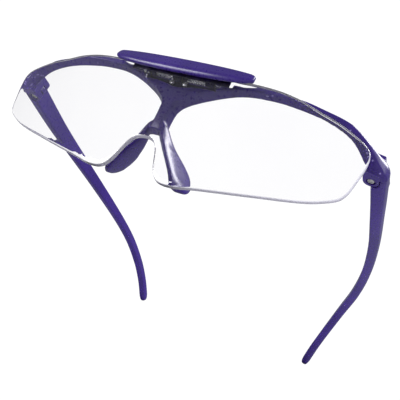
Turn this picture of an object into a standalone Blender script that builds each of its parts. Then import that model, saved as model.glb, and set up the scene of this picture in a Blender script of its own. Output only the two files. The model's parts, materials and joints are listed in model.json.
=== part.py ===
"""Flip-up magnifying loupe spectacles, modelled as the separate pieces that
come apart on a bench.  Units are metres, +Z is up, the wearer looks along -Y.

The pieces are drawn in the frame the spectacles have when they are worn
(temples level at the hinges, millimetres), and one empty tips that frame so
that the assembly stands on its lens edge and its two temple tips."""
import bpy
import bmesh
import math
import numpy as np
from mathutils import Matrix, Vector

# ---------------------------------------------------------------- dimensions
MM = 0.001

# lens shield: one clear moulding on a cylinder that leans back at its foot
LENS_Y0 = 0.9          # front face at the centre
LENS_LEAN = 0.10       # how far the face moves back per mm down
LENS_WRAP = 0.0023     # wrap round the face, y = wrap * x^2
LENS_T = 1.8           # thickness
LENS_HALF = 65.2       # half width
LENS_NOTCH_Z = -15.4   # top of the nose notch
LENS_TAB_HALF = 18.4   # half width of the tab inside the flip bar
LENS_TAB_Z = 12.4      # top of that tab

# flip hinge
PIN_Y, PIN_Z = 4.6, 10.3
PIN_R = 0.62
PIN_HALF = 13.3
EYE_R = 0.95           # hole in every knuckle
KNUCKLE_R = 1.55
SPRING_R = 1.22        # mean radius of the torsion springs
SPRING_WIRE = 0.27
FLIP_MAX = 78.0        # degrees

# flip bar
BAR_HALF = 25.4
BAR_LAND = 14.6        # height of the flat land on top
SCREW_X = 15.9         # carrier screws
SCREW_Z = 11.5
BSCREW_X, BSCREW_Z = 2.4, 7.55    # bracket screws

# temple hinges
HINGE_X, HINGE_Y = 65.6, 21.3
HINGE_Z = 3.15        # mid height of the temple hinges
BARREL_R = 2.5
BARREL_LOW, BARREL_HIGH = -0.7, 7.0
SLOT_LOW, SLOT_HIGH = 1.75, 4.55
HSCREW_R = 0.7
TEMPLE_START = 20.3
FRAME_END = 19.95

BOX_CLEAR = 0.3


# ---------------------------------------------------------------- scene reset
for ob in list(bpy.data.objects):
    bpy.data.objects.remove(ob, do_unlink=True)

scene = bpy.context.scene
coll = scene.collection

worn = bpy.data.objects.new("worn_frame", None)
coll.objects.link(worn)


# ---------------------------------------------------------------- materials
def principled(name, colour, rough, metal=0.0, alpha=1.0):
    m = bpy.data.materials.new(name)
    m.use_nodes = True
    b = m.node_tree.nodes["Principled BSDF"]
    b.inputs["Base Color"].default_value = (*colour, 1.0)
    b.inputs["Roughness"].default_value = rough
    b.inputs["Metallic"].default_value = metal
    b.inputs["Alpha"].default_value = alpha
    return m


VIOLET = (0.07, 0.035, 0.22)
BLACK = (0.012, 0.012, 0.018)
STEEL = (0.62, 0.62, 0.65)


# ---------------------------------------------------------------- helpers
def curve(points):
    """Smooth function through (s, value) points, monotone between them."""
    points = sorted(points)
    s = np.array([p[0] for p in points], float)
    v = np.array([p[1] for p in points], float)
    h = np.diff(s)
    d = np.diff(v) / h
    m = np.zeros(len(s))
    m[0], m[-1] = d[0], d[-1]
    for i in range(1, len(s) - 1):
        if d[i - 1] * d[i] > 0:
            w1, w2 = 2 * h[i] + h[i - 1], h[i] + 2 * h[i - 1]
            m[i] = (w1 + w2) / (w1 / d[i - 1] + w2 / d[i])

    def f(x):
        x = min(max(x, s[0]), s[-1])
        i = min(int(np.searchsorted(s, x, side="right")) - 1, len(h) - 1)
        t = (x - s[i]) / h[i]
        return float((2 * t ** 3 - 3 * t ** 2 + 1) * v[i]
                     + (t ** 3 - 2 * t ** 2 + t) * h[i] * m[i]
                     + (-2 * t ** 3 + 3 * t ** 2) * v[i + 1]
                     + (t ** 3 - t ** 2) * h[i] * m[i + 1])
    return f


def new_object(name, bm, mat=None, parent=None, smooth=35.0, origin=(0, 0, 0)):
    """Turns a bmesh drawn in worn millimetres into an object whose origin is
    the given point and whose parent is the worn frame or a joint empty."""
    bmesh.ops.recalc_face_normals(bm, faces=bm.faces[:])
    o = Vector(origin)
    bmesh.ops.transform(bm, matrix=Matrix.Scale(MM, 4) @ Matrix.Translation(-o),
                        verts=bm.verts[:])
    me = bpy.data.meshes.new(name)
    bm.to_mesh(me)
    bm.free()
    if smooth:
        me.shade_smooth()
        me.set_sharp_from_angle(angle=math.radians(smooth))
    ob = bpy.data.objects.new(name, me)
    coll.objects.link(ob)
    if mat:
        me.materials.append(mat)
    ob.parent = parent or worn
    base = parent.location if parent else Vector((0, 0, 0))
    ob.location = o * MM - base
    return ob


def add_loft(bm, rings, closed=False):
    """Skins rings of equal length; the two ends are closed with a face."""
    vs = [[bm.verts.new(p) for p in r] for r in rings]
    n = len(vs[0])
    pairs = list(zip(vs, vs[1:]))
    if closed:
        pairs.append((vs[-1], vs[0]))
    for a, b in pairs:
        for i in range(n):
            j = (i + 1) % n
            bm.faces.new((a[i], a[j], b[j], b[i]))
    if not closed:
        bm.faces.new(list(reversed(vs[0])))
        bm.faces.new(vs[-1])
    return vs


def loft(rings, closed=False):
    bm = bmesh.new()
    add_loft(bm, rings, closed)
    bmesh.ops.recalc_face_normals(bm, faces=bm.faces[:])
    return bm


def prism(outline, axis, lo, hi):
    """Extrudes an outline of 2-D points along axis 0, 1 or 2."""
    def put(p, t):
        q = [p[0], p[1]]
        q.insert(axis, t)
        return q
    return loft([[put(p, lo) for p in outline], [put(p, hi) for p in outline]])


def circle(c, r, n=20, start=0.0):
    return [(c[0] + r * math.cos(start + 2 * math.pi * i / n),
             c[1] + r * math.sin(start + 2 * math.pi * i / n)) for i in range(n)]


def rod(axis, c, r, lo, hi, n=20):
    return prism(circle(c, r, n), axis, lo, hi)


def box(lo, hi):
    return prism([(lo[0], lo[1]), (hi[0], lo[1]), (hi[0], hi[1]), (lo[0], hi[1])],
                 2, lo[2], hi[2])


def merge(*bms):
    """Puts separate closed shapes into one bmesh."""
    out = bmesh.new()
    for b in bms:
        me = bpy.data.meshes.new("tmp")
        b.to_mesh(me)
        out.from_mesh(me)
        bpy.data.meshes.remove(me)
        b.free()
    return out


def boolean(base, tool, op):
    """EXACT boolean of two bmeshes, returned as a bmesh."""
    obs = []
    for n, b in (("base", base), ("tool", tool)):
        bmesh.ops.recalc_face_normals(b, faces=b.faces[:])
        me = bpy.data.meshes.new(n)
        b.to_mesh(me)
        b.free()
        o = bpy.data.objects.new(n, me)
        coll.objects.link(o)
        obs.append(o)
    md = obs[0].modifiers.new("b", "BOOLEAN")
    md.object = obs[1]
    md.operation = op
    md.solver = "EXACT"
    bpy.context.view_layer.update()
    ev = obs[0].evaluated_get(bpy.context.evaluated_depsgraph_get())
    out = bmesh.new()
    out.from_mesh(ev.to_mesh())
    ev.to_mesh_clear()
    for o in obs:
        me = o.data
        bpy.data.objects.remove(o)
        bpy.data.meshes.remove(me)
    bmesh.ops.remove_doubles(out, verts=out.verts[:], dist=0.002)
    bmesh.ops.dissolve_degenerate(out, edges=out.edges[:], dist=0.002)
    return out


def union(first, *rest):
    for r in rest:
        first = boolean(first, r, "UNION")
    return first


def cut(first, *rest):
    for r in rest:
        first = boolean(first, r, "DIFFERENCE")
    return first


def mirrored(bm):
    """A copy of a bmesh on the other side of the YZ plane."""
    b = bm.copy()
    bmesh.ops.transform(b, matrix=Matrix.Scale(-1, 4, (1, 0, 0)), verts=b.verts[:])
    bmesh.ops.reverse_faces(b, faces=b.faces[:])
    return b


def rounded(corners, radius, steps=2):
    """Rounds each corner of a closed polygon with a small arc."""
    out = []
    n = len(corners)
    for i in range(n):
        p = Vector(corners[i])
        a, b = Vector(corners[i - 1]), Vector(corners[(i + 1) % n])
        r = radius[i] if isinstance(radius, (list, tuple)) else radius
        ra = min(r, (a - p).length * 0.45)
        rb = min(r, (b - p).length * 0.45)
        p0, p1 = p + (a - p).normalized() * ra, p + (b - p).normalized() * rb
        for k in range(steps + 1):
            t = k / steps
            out.append(tuple((1 - t) ** 2 * p0 + 2 * t * (1 - t) * p + t * t * p1))
    return out


# ---------------------------------------------------------------- lens shield
def lens_y(x, z):
    return LENS_Y0 - LENS_LEAN * z + LENS_WRAP * x * x


LENS_TOP = curve([(0, 10.6), (22, 10.9), (26, 11.4), (33, 11.6), (40, 11.0),
                  (47, 9.2), (53, 7.9), (59, 5.8), (64.2, 3.1), (65.2, 1.6)])
LENS_BOT = curve([(0, LENS_NOTCH_Z), (2.3, -15.6), (4.4, -17.2), (5.9, -21.0),
                  (7.4, -25.2), (8.9, -27.6), (11.2, -28.8), (14, -28.8),
                  (21, -27.3), (39, -23.1), (54.3, -18.6), (58.5, -16.4),
                  (61.3, -14.6), (62.9, -11.4), (64.0, -6.6), (64.9, -2.6),
                  (65.2, 1.4)])


def lens_outline_x():
    xs = [0, 1.2, 2.4, 3.5, 4.6, 5.3, 6.1, 6.9, 7.6, 8.2, 9.0, 10.0, 11.2, 12.6,
          14.0]
    xs += list(np.linspace(17, 52, 13))
    xs += [54.3, 56.5, 58.5, 60.0, 61.3, 62.2, 62.9, 63.5, 64.0, 64.5, 64.9, 65.12]
    return xs


def make_lens():
    xs = lens_outline_x()
    xs = [-x for x in reversed(xs[1:])] + xs
    rows = 7
    rings = []
    for x in xs:
        ax = abs(x)
        zt, zb = LENS_TOP(ax), LENS_BOT(ax)
        col = []
        for k in range(rows + 1):
            z = zt + (zb - zt) * k / rows
            col.append((x, lens_y(x, z), z))
        for k in range(rows, -1, -1):
            z = zt + (zb - zt) * k / rows
            col.append((x, lens_y(x, z) + LENS_T, z))
        rings.append(col)
    body = loft(rings)
    tab = [(-LENS_TAB_HALF, 10.2), (LENS_TAB_HALF, 10.2),
           (LENS_TAB_HALF, LENS_TAB_Z - 1.2), (LENS_TAB_HALF - 1.2, LENS_TAB_Z),
           (-LENS_TAB_HALF + 1.2, LENS_TAB_Z), (-LENS_TAB_HALF, LENS_TAB_Z - 1.2)]
    xs = np.linspace(-LENS_TAB_HALF, LENS_TAB_HALF, 13)
    trings = []
    for x in xs:
        edge = min(1.0, (LENS_TAB_HALF - abs(x)) / 1.2 + 0.35)
        top = LENS_TAB_Z - (1.0 - edge) * 1.2
        low = 9.6
        trings.append([(x, lens_y(x, top), top), (x, lens_y(x, low), low),
                       (x, lens_y(x, low) + LENS_T, low),
                       (x, lens_y(x, top) + LENS_T, top)])
    body = union(body, loft(trings))
    holes = merge(*[rod(1, (sx * SCREW_X, SCREW_Z), 1.0, -3, 5, 16) for sx in (-1, 1)])
    return cut(body, holes)


# ---------------------------------------------------------------- front frame
# plan of the brow from the centre round the endpiece: front face x, y and
# rear face x, y, then top, front lower edge and rear lower edge heights
BROW = [
    (0.0, 4.4, 0.0, 9.0, 11.9, 2.0, 1.4),
    (6.0, 4.5, 6.0, 9.0, 11.9, 3.9, 3.2),
    (10.5, 4.7, 10.4, 9.0, 11.9, 6.3, 5.6),
    (15.5, 4.9, 15.2, 8.9, 11.9, 8.6, 8.0),
    (21.0, 5.3, 20.6, 8.7, 12.1, 10.4, 9.9),
    (27.0, 5.8, 26.4, 9.0, 13.3, 11.5, 11.0),
    (34.0, 6.3, 33.2, 9.5, 13.7, 12.0, 11.3),
    (41.0, 6.9, 40.0, 10.1, 13.3, 11.8, 10.8),
    (48.0, 8.0, 46.8, 11.1, 12.3, 10.8, 10.0),
    (54.0, 9.2, 52.6, 12.2, 11.4, 9.3, 8.5),
    (59.5, 10.8, 57.6, 13.7, 9.9, 7.1, 6.4),
    (64.0, 12.8, 61.4, 15.6, 8.2, 3.9, 3.0),
    (67.6, 15.3, 63.9, 17.5, 7.4, 1.0, 0.2),
    (69.8, 17.9, 65.3, 18.9, 7.1, -0.5, -0.6),
    (70.5, FRAME_END, 65.5, FRAME_END, 7.0, -0.7, -0.7),
]


def make_brow():
    fs = [curve([(i, row[k]) for i, row in enumerate(BROW)]) for k in range(7)]
    n = len(BROW) - 1
    side = []
    us = sorted(set([round(v, 4) for v in np.linspace(0, 8, 15)]
                    + [round(v, 4) for v in np.linspace(8, n, 13)]))
    for u in us:
        xo, yo, xi, yi, zt, zr, zb = [f(u) for f in fs]
        o, i = Vector((xo, yo)), Vector((xi, yi))
        d = (i - o).length
        n2 = (i - o) / d
        end = min(1.0, max(0.0, (u - 9.5) / 2.5))
        sec = rounded([(0.0, zt - 2.2 * end), (0.0, zr), (d, zb), (d, zt - 0.4)],
                      [0.9 + 2.3 * end, 0.5 + 0.9 * end, 0.7, 0.7], 3)
        side.append([(o.x + n2.x * a, o.y + n2.y * a, z) for a, z in sec])
    left = [[(-p[0], p[1], p[2]) for p in ring] for ring in side[1:]]
    return loft(list(reversed(left)) + side)


def make_neck():
    half_front = curve([(-14, 2.6), (-11, 1.9), (-6, 1.5), (-2, 1.7), (0.5, 2.6),
                        (3, 5.2), (5.6, 8.6)])
    half_rear = curve([(-14, 3.6), (-11, 3.2), (-6, 2.9), (-2, 3.1), (0.5, 4.0),
                       (3, 6.4), (5.6, 10.0)])
    y_front = curve([(-14, 6.0), (-8, 4.9), (-2, 4.4), (6, 4.4)])
    y_rear = curve([(-14, 10.5), (-8, 9.0), (-2, 8.6), (6, 9.0)])
    rings = []
    for z in (5.6, 4.4, 3.0, 1.8, 0.5, -0.9, -2.4, -4.2, -6.0, -8.0, -9.6, -10.6):
        a, b, yf, yr = half_front(z), half_rear(z), y_front(z), y_rear(z)
        sec = rounded([(-a, yf), (a, yf), (b, yr), (-b, yr)], 0.7, 2)
        rings.append([(p[0], p[1], z) for p in sec])
    return loft(rings)


# nose pad arm: front edge A and rear edge B of a paddle, by height
ARM_AX = curve([(-7, 0.7), (-12, 1.8), (-15, 3.6), (-19, 6.5), (-22, 8.7), (-26, 11.2)])
ARM_AY = curve([(-7, 5.6), (-12, 6.0), (-15, 6.8), (-19, 8.0), (-22, 8.9), (-26, 10.2)])
ARM_BX = curve([(-7, 1.3), (-12, 4.6), (-15, 8.3), (-17, 10.2), (-19, 11.4), (-22, 12.5),
                (-24, 12.9), (-26, 12.4)])
ARM_BY = curve([(-7, 7.9), (-10, 10.2), (-12, 13.0), (-14, 17.0), (-16, 20.0),
                (-18, 21.0), (-20, 20.9), (-22, 19.8), (-24, 17.6), (-26, 13.4)])
ARM_T = curve([(-7, 1.0), (-9, 2.0), (-12, 2.4), (-17, 2.7), (-22, 2.8), (-24.5, 2.3), (-26, 1.3)])


def make_arm():
    """Right pad arm, a paddle lofted from the fork of the neck downwards."""
    zs = [-7, -8.6, -10.2, -11.6, -13, -14.4, -15.8, -17.2, -18.8, -20.4, -22,
          -23.4, -24.6, -25.4, -26]
    rings = []
    for z in zs:
        a = Vector((ARM_AX(z), ARM_AY(z)))
        b = Vector((ARM_BX(z), ARM_BY(z)))
        u = (b - a)
        n = Vector((u.y, -u.x)).normalized()
        t = ARM_T(z)
        ring = []
        m = 14
        for k in range(m):
            ang = 2 * math.pi * k / m
            ca, sa = math.cos(ang), math.sin(ang)
            along = 0.5 + 0.5 * math.copysign(abs(ca) ** 0.75, ca)
            off = 0.5 * t * math.copysign(abs(sa) ** 0.8, sa)
            p = a + u * along + n * (off + 0.5 * t)
            ring.append((p.x, p.y, z))
        rings.append(ring)
    return loft(rings)


def hinge_barrel():
    """Frame half of the right temple hinge: a barrel blended into the endpiece."""
    out = []
    for k in range(13):
        a = math.pi * k / 12
        out.append((HINGE_X + BARREL_R * math.cos(a), HINGE_Y + BARREL_R * math.sin(a)))
    out += [(HINGE_X - BARREL_R, 17.4), (HINGE_X - 1.2, 16.2), (HINGE_X + BARREL_R, 17.4)]
    return prism(out, 2, BARREL_LOW, BARREL_HIGH)


POCKET = curve([(0, 5.9), (1.5, 6.1), (4, 6.7), (8, 7.45), (11, 7.65), (13.2, 7.7)])
POCKET_HALF = 13.4
SHELF_Z = 10.45        # seat behind the carrier screws when the shield is up
SHELF_HALF = 17.9


def pocket_floor(x):
    """Height of the pocket under the flip hinge."""
    return POCKET(min(abs(x), 13.2))


def make_frame():
    body = union(make_brow(), make_neck())
    arm = make_arm()
    body = union(body, mirrored(arm), arm)
    for sgn in (1, -1):
        b = hinge_barrel()
        slot = rod(2, (HINGE_X, HINGE_Y), BARREL_R + BOX_CLEAR, SLOT_LOW, SLOT_HIGH, 28)
        behind = box((HINGE_X - 6, HINGE_Y + 0.01, SLOT_LOW), (HINGE_X + 6, HINGE_Y + 6, SLOT_HIGH))
        eye = rod(2, (HINGE_X, HINGE_Y), HSCREW_R + 0.3, -2, 12, 16)
        head = rod(2, (HINGE_X, HINGE_Y), 1.5, -2, BARREL_LOW + 1.2, 20)
        nut = rod(2, (HINGE_X, HINGE_Y), 1.75, BARREL_HIGH - 1.2, 12, 20)
        parts = [b, slot, behind, eye, head, nut]
        if sgn < 0:
            parts = [mirrored(p) for p in parts]
        b, slot, behind, eye, head, nut = parts
        body = union(body, b)
        body = cut(body, slot, behind, eye, head, nut)
    # pocket for the hinge bracket: the front of the gusset dips in an arc
    floor = [(x, pocket_floor(x)) for x in np.linspace(-POCKET_HALF, POCKET_HALF, 25)]
    side = [(POCKET_HALF + 0.9, SHELF_Z), (SHELF_HALF, SHELF_Z), (SHELF_HALF + 1.0, 20)]
    outline = floor + side + [(-x, z) for x, z in reversed(side)]
    body = cut(body, prism(outline, 1, -4, 6.6))
    outline = [(POCKET_HALF, 9.4)] + side
    body = cut(body, prism(outline + [(-x, z) for x, z in reversed(outline)], 1, 2, 7.3))
    holes = merge(*[rod(1, (sx * BSCREW_X, BSCREW_Z), 0.68, 3, 9.0, 14) for sx in (-1, 1)])
    body = cut(body, holes)
    return body


# ---------------------------------------------------------------- flip hinge
def ring_x(lo, hi, r, n=18):
    """Knuckle: a tube round the pin between two x values."""
    return rod(0, (PIN_Y, PIN_Z), r, lo, hi, n)


def eye_x():
    return rod(0, (PIN_Y, PIN_Z), EYE_R, -20, 20, 14)


FRAME_EARS = [(-12.6, -11.2), (-0.75, 0.75), (11.2, 12.6)]
LENS_EARS = [(-10.9, -9.3), (-2.7, -1.05), (1.05, 2.7), (9.3, 10.9)]
SPRING_SPAN = (3.1, 8.9)


def make_bracket():
    """Frame half of the flip hinge: a plate in the pocket with three ears."""
    xs = np.linspace(-12.9, 12.9, 15)
    rings = []
    for x in xs:
        low = pocket_floor(x) + 0.35
        rings.append([(x, 5.0, low), (x, 6.3, low), (x, 6.3, 8.55), (x, 5.0, 8.55)])
    plate = loft(rings)
    ears = []
    for lo, hi in FRAME_EARS:
        c = (PIN_Y, PIN_Z)
        out = []
        for k in range(13):
            a = math.radians(-40) + math.radians(230) * k / 12
            out.append((c[0] + KNUCKLE_R * math.cos(a), c[1] + KNUCKLE_R * math.sin(a)))
        out += [(3.7, 8.3), (5.1, 7.9 if lo * hi < 0 else 8.3), (6.2, 8.52)]
        ears.append(prism(out, 0, lo, hi))
    body = plate
    for e in ears:
        body = union(body, e)
    body = cut(body, eye_x())
    holes = merge(*[rod(1, (sx * BSCREW_X, BSCREW_Z), 0.68, 2, 9.0, 14) for sx in (-1, 1)])
    return cut(body, holes)


def make_carrier():
    """Lens half of the flip hinge: a strip behind the lens tab with knuckles."""
    xs = np.linspace(-18.0, 18.0, 9)
    rings = []
    for x in xs:
        back = 2.55 if abs(x) < 13.6 else 3.05
        f_lo = lens_y(x, 8.6) + LENS_T + 0.32
        f_hi = lens_y(x, 12.7) + LENS_T + 0.32
        rings.append([(x, f_lo, 8.6), (x, f_hi, 12.7), (x, back + 0.15, 12.7), (x, back + 0.15, 8.6)])
    body = loft(rings)
    for lo, hi in LENS_EARS:
        out = []
        for k in range(13):
            a = math.radians(-150) + math.radians(235) * k / 12
            out.append((PIN_Y + KNUCKLE_R * math.cos(a), PIN_Z + KNUCKLE_R * math.sin(a)))
        out += [(2.6, 12.4), (2.6, 10.0)]
        body = union(body, prism(out, 0, lo, hi))
    body = cut(body, eye_x())
    holes = merge(*[rod(1, (sx * SCREW_X, SCREW_Z), 1.0, -3, 6, 16) for sx in (-1, 1)])
    return cut(body, holes)


def make_bar():
    """Leaf-shaped grip over the lens tab, open below and behind."""
    xs = [-1.0, -0.985, -0.95, -0.88, -0.78, -0.66, -0.54, -0.4, -0.2, 0.0]
    xs = xs + [-v for v in reversed(xs[:-1])]
    rings = []
    for u in xs:
        w = math.sqrt(max(0.0, 1 - abs(u) ** 2.0))
        e = 0.0 if abs(u) < 0.94 else (abs(u) - 0.94) / 0.06
        top_z = 14.0 + 0.75 * w - 0.5 * e ** 2
        yf = 0.35 - 2.25 * w
        z2 = 12.0 - 2.2 * w
        z3 = 11.4 - 3.1 * w + 0.3 * e
        yr = 1.55 + 1.3 * w ** 0.6
        sec = rounded([(0.9 - 0.9 * w, top_z), (yf, z2), (yf + 0.25 + 0.35 * w, z3),
                       (yr, z3 + 0.1), (yr, top_z + 0.3)],
                      [0.5, 0.8, 0.4, 0.3, 0.4], 2)
        rings.append([(u * BAR_HALF, p[0], p[1]) for p in sec])
    body = loft(rings)
    # slot for the lens edge and tab, then the room for carrier and screw heads
    inner = []
    for x in np.linspace(-LENS_TAB_HALF - 0.8, LENS_TAB_HALF + 0.8, 9):
        inner.append([(x, lens_y(x, 7.2) - 0.3, 7.2), (x, lens_y(x, 12.75) - 0.3, 12.75),
                      (x, lens_y(x, 12.75) + LENS_T + 0.3, 12.75),
                      (x, lens_y(x, 7.2) + LENS_T + 0.3, 7.2)])
    body = cut(body, loft(inner))
    edge = []
    for x in np.linspace(-28, 28, 15):
        z1 = LENS_TOP(abs(x)) + 0.3
        edge.append([(x, lens_y(x, 7.2) - 0.3, 7.2), (x, lens_y(x, z1) - 0.3, z1),
                     (x, lens_y(x, z1) + LENS_T + 0.3, z1),
                     (x, lens_y(x, 7.2) + LENS_T + 0.3, 7.2)])
    body = cut(body, loft(edge))
    body = cut(body, box((-19.0, 1.0, 7.0), (19.0, 8.0, 13.0)))
    holes = merge(*[rod(1, (sx * SCREW_X, SCREW_Z), 1.0, -0.35, 6, 16) for sx in (-1, 1)])
    body = cut(body, holes)
    # flat land along the top, where a finger pushes or a small light clips on
    return cut(body, box((-30, -6, BAR_LAND), (30, 8, 20)))


def make_pin():
    return ring_x(-PIN_HALF, PIN_HALF, PIN_R, 16)


def make_cap():
    """Push-on retaining cap on the right pin end."""
    return cut(ring_x(12.9, 13.95, 1.3, 18), ring_x(12.0, 13.65, PIN_R + 0.3, 16))


def make_spring():
    """Right torsion spring: coils round the pin with one leg on the bracket."""
    turns = 6
    per = 12
    lo, hi = SPRING_SPAN
    lo, hi = lo + 0.45, hi - 0.45
    pts = []
    n = turns * per
    a0 = math.radians(-60)
    for i in range(n + 1):
        a = a0 + 2 * math.pi * i / per
        pts.append(Vector((lo + (hi - lo) * i / n,
                           PIN_Y + SPRING_R * math.cos(a), PIN_Z + SPRING_R * math.sin(a))))
    tan = Vector((0, -math.sin(a0), math.cos(a0)))
    # legs leave the coil along its tangent
    first = pts[0] - tan * 1.9
    last = pts[-1] + Vector((0.0, -math.sin(a0), math.cos(a0))) * 0.9
    end = pts[-1] + Vector((0.35, -math.sin(a0) * 0.9, math.cos(a0) * 0.9)) * 1.0
    path = [first, first.lerp(pts[0], 0.5)] + pts + [end]
    rings = []
    m = 6
    for i, p in enumerate(path):
        a = path[max(i - 1, 0)]
        b = path[min(i + 1, len(path) - 1)]
        t = (b - a).normalized()
        side = Vector((1, 0, 0)) - t * t.x
        side.normalize()
        up = t.cross(side)
        rings.append([tuple(p + (side * math.cos(2 * math.pi * k / m)
                                 + up * math.sin(2 * math.pi * k / m)) * SPRING_WIRE)
                      for k in range(m)])
    return loft(rings)


def pan_screw(axis, c, head_lo, head_hi, end, r_head, r_shaft, flip, n=16, slot=True):
    """Screw along an axis: a domed head with a cross recess, and a shaft."""
    h = head_hi - head_lo
    prof = [(0.0, r_head), (0.55 * h, r_head), (0.88 * h, r_head * 0.82), (h, r_head * 0.45)]
    rings = []
    if flip:
        base, sgn = head_lo + h, -1
    else:
        base, sgn = head_lo, 1
    # from shaft end to head top
    seq = [(end, r_shaft * 0.75), (end + (0.3 if end < base else -0.3), r_shaft), (base, r_shaft)]
    seq += [(base + sgn * d, r) for d, r in prof]
    for t, r in seq:
        ring = []
        for p in circle(c, r, n):
            q = [p[0], p[1]]
            q.insert(axis, t)
            ring.append(tuple(q))
        rings.append(ring)
    body = loft(rings)
    if slot:
        top = base + sgn * h
        a, b = sorted((top - sgn * 0.35 * h, top + sgn * 1.0))
        w, l = r_head * 0.14, r_head * 0.62
        for dx, dy in ((l, w), (w, l)):
            lo, hi = [c[0] - dx, c[1] - dy], [c[0] + dx, c[1] + dy]
            lo.insert(axis, a)
            hi.insert(axis, b)
            body = cut(body, box(lo, hi))
    return body


def make_carrier_screw():
    return pan_screw(1, (SCREW_X, SCREW_Z), 3.4, 4.0, -0.15, 1.2, 0.68, False)


def make_bracket_screw():
    return pan_screw(1, (BSCREW_X, BSCREW_Z), 4.05, 4.7, 8.6, 0.85, 0.38, True)


# ---------------------------------------------------------------- temples
T_X = curve([(20, 70.5), (32, 70.1), (45, 69.6), (60, 69.0), (75, 67.8), (90, 65.7),
             (105, 62.3), (118, 57.7), (130, 52.6), (140, 47.5), (150, 42.6)])
T_Z = curve([(20, 3.15), (32, 2.1), (45, 1.1), (60, 0.5), (75, -0.4), (90, -2.0),
             (105, -4.7), (118, -9.0), (130, -16.2), (136, -21.9), (140, -26.8), (150, -41)])
T_H = curve([(20, 7.7), (32, 7.3), (45, 6.6), (60, 5.8), (75, 5.2), (90, 4.7),
             (105, 4.2), (118, 3.9), (150, 3.6)])
T_T = curve([(20, 5.0), (26, 4.8), (34, 4.4), (45, 4.0), (60, 3.7), (100, 3.6), (150, 3.4)])
TIP_Y = 144.0


def temple_frame(y):
    p = Vector((T_X(y), y, T_Z(y)))
    e = 0.4
    t = Vector((T_X(y + e) - T_X(y - e), 2 * e, T_Z(y + e) - T_Z(y - e))).normalized()
    out = Vector((1, 0, 0))
    out = (out - t * out.dot(t)).normalized()
    up = out.cross(t)
    if up.z < 0:
        up = -up
    return p, t, out, up


def root_drop(y):
    """How far the outer top edge is brought down near the hinge."""
    return 2.2 * min(1.0, max(0.0, 1 - (y - 20.6) / 18.0))


def make_temple():
    """Right temple: a tapered bar that runs straight and then bends down."""
    ys = [20.6, 22.0, 24.5, 28, 34, 41, 49, 57, 65, 73, 81, 89, 97, 105, 112, 118,
          124, 129, 134, 138, 141]
    rings = []
    last = None
    for y in ys:
        p, t, out, up = temple_frame(y)
        h, th = T_H(y), T_T(y)
        c = p - out * th / 2
        rings.append([tuple(c + out * a + up * b) for a, b in blade(th, h, root_drop(y))])
        last = (c, t, out, up, h, th)
    c, t, out, up, h, th = last
    for d, s in ((1.5, 0.96), (2.6, 0.86), (3.4, 0.68), (3.9, 0.42)):
        rings.append([tuple(c + t * d + out * a * s + up * b * s) for a, b in blade(th, h)])
    body = loft(rings)
    # flat butt face against the endpiece
    body = cut(body, box((55, 10, -10), (80, TEMPLE_START, 20)))
    # relief round the frame barrel
    body = cut(body, rod(2, (HINGE_X, HINGE_Y), BARREL_R + 0.3, -5, 15, 32))
    web = [(HINGE_X + BARREL_R * math.cos(a), HINGE_Y + BARREL_R * math.sin(a))
           for a in [math.radians(95 + 170 * k / 12) for k in range(13)]]
    web += [(HINGE_X + 2.6, HINGE_Y - 0.9), (HINGE_X + 4.4, HINGE_Y - 0.7),
            (HINGE_X + 4.6, HINGE_Y + 6.0), (HINGE_X + 2.4, HINGE_Y + 6.5)]
    body = union(body, prism(web, 2, SLOT_LOW + 0.3, SLOT_HIGH - 0.3))
    body = cut(body, rod(2, (HINGE_X, HINGE_Y), HSCREW_R + 0.3, -3, 12, 16))
    return body


def blade(th, h, drop=0.0):
    """Temple section: flat inside, crowned outside, rounded edges."""
    pts = [(-th / 2, -h / 2), (th / 2 * 0.8, -h / 2), (th / 2, 0.0), (th / 2 * 0.8, h / 2 - drop),
           (-th / 2, h / 2)]
    return rounded(pts, [0.8, 1.1, 1.5, 1.1, 0.8], 2)


def make_hinge_screw():
    return pan_screw(2, (HINGE_X, HINGE_Y), BARREL_LOW + 0.05, BARREL_LOW + 0.75,
                     BARREL_HIGH - 0.1, 1.15, HSCREW_R, True)


def make_hinge_washer():
    w = rod(2, (HINGE_X, HINGE_Y), 1.5, SLOT_HIGH - 0.25, SLOT_HIGH - 0.05, 20)
    return cut(w, rod(2, (HINGE_X, HINGE_Y), HSCREW_R + 0.3, -3, 12, 16))


def make_hinge_nut():
    nut = prism(circle((HINGE_X, HINGE_Y), 1.6, 6), 2, BARREL_HIGH - 0.95, BARREL_HIGH + 0.1)
    return cut(nut, rod(2, (HINGE_X, HINGE_Y), HSCREW_R + 0.3, 0, 14, 16))


# ---------------------------------------------------------------- assembly
frame_bm = make_frame()
lens_bm = make_lens()
temple_bm = make_temple()


def support(bm_list):
    pts = []
    for b in bm_list:
        pts += [(v.co.y, v.co.z) for v in b.verts]
    return pts


# tip angle: the worn frame is turned about X until the lens foot and the
# temple tips are equally low
front_pts = support([lens_bm])
rear_pts = [p for p in support([temple_bm]) if p[0] > 100]
tilt = 0.0
for _ in range(40):
    c, s = math.cos(tilt), math.sin(tilt)
    a = min(front_pts, key=lambda p: p[0] * s + p[1] * c)
    b = min(rear_pts, key=lambda p: p[0] * s + p[1] * c)
    tilt = -math.atan2(b[1] - a[1], b[0] - a[0])
c, s = math.cos(tilt), math.sin(tilt)
low = min(p[0] * s + p[1] * c for p in front_pts + rear_pts)

all_pts = support([frame_bm, lens_bm, temple_bm])
bar_bm = make_bar()
all_pts += support([bar_bm])
y_lo = min(p[0] * c - p[1] * s for p in all_pts)
y_hi = max(p[0] * c - p[1] * s for p in all_pts)

worn.rotation_euler = (tilt, 0, 0)
worn.location = (0, -(y_lo + y_hi) / 2 * MM, -low * MM)


def joint_empty(name, pos):
    e = bpy.data.objects.new(name, None)
    coll.objects.link(e)
    e.parent = worn
    e.location = Vector(pos) * MM
    return e


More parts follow.
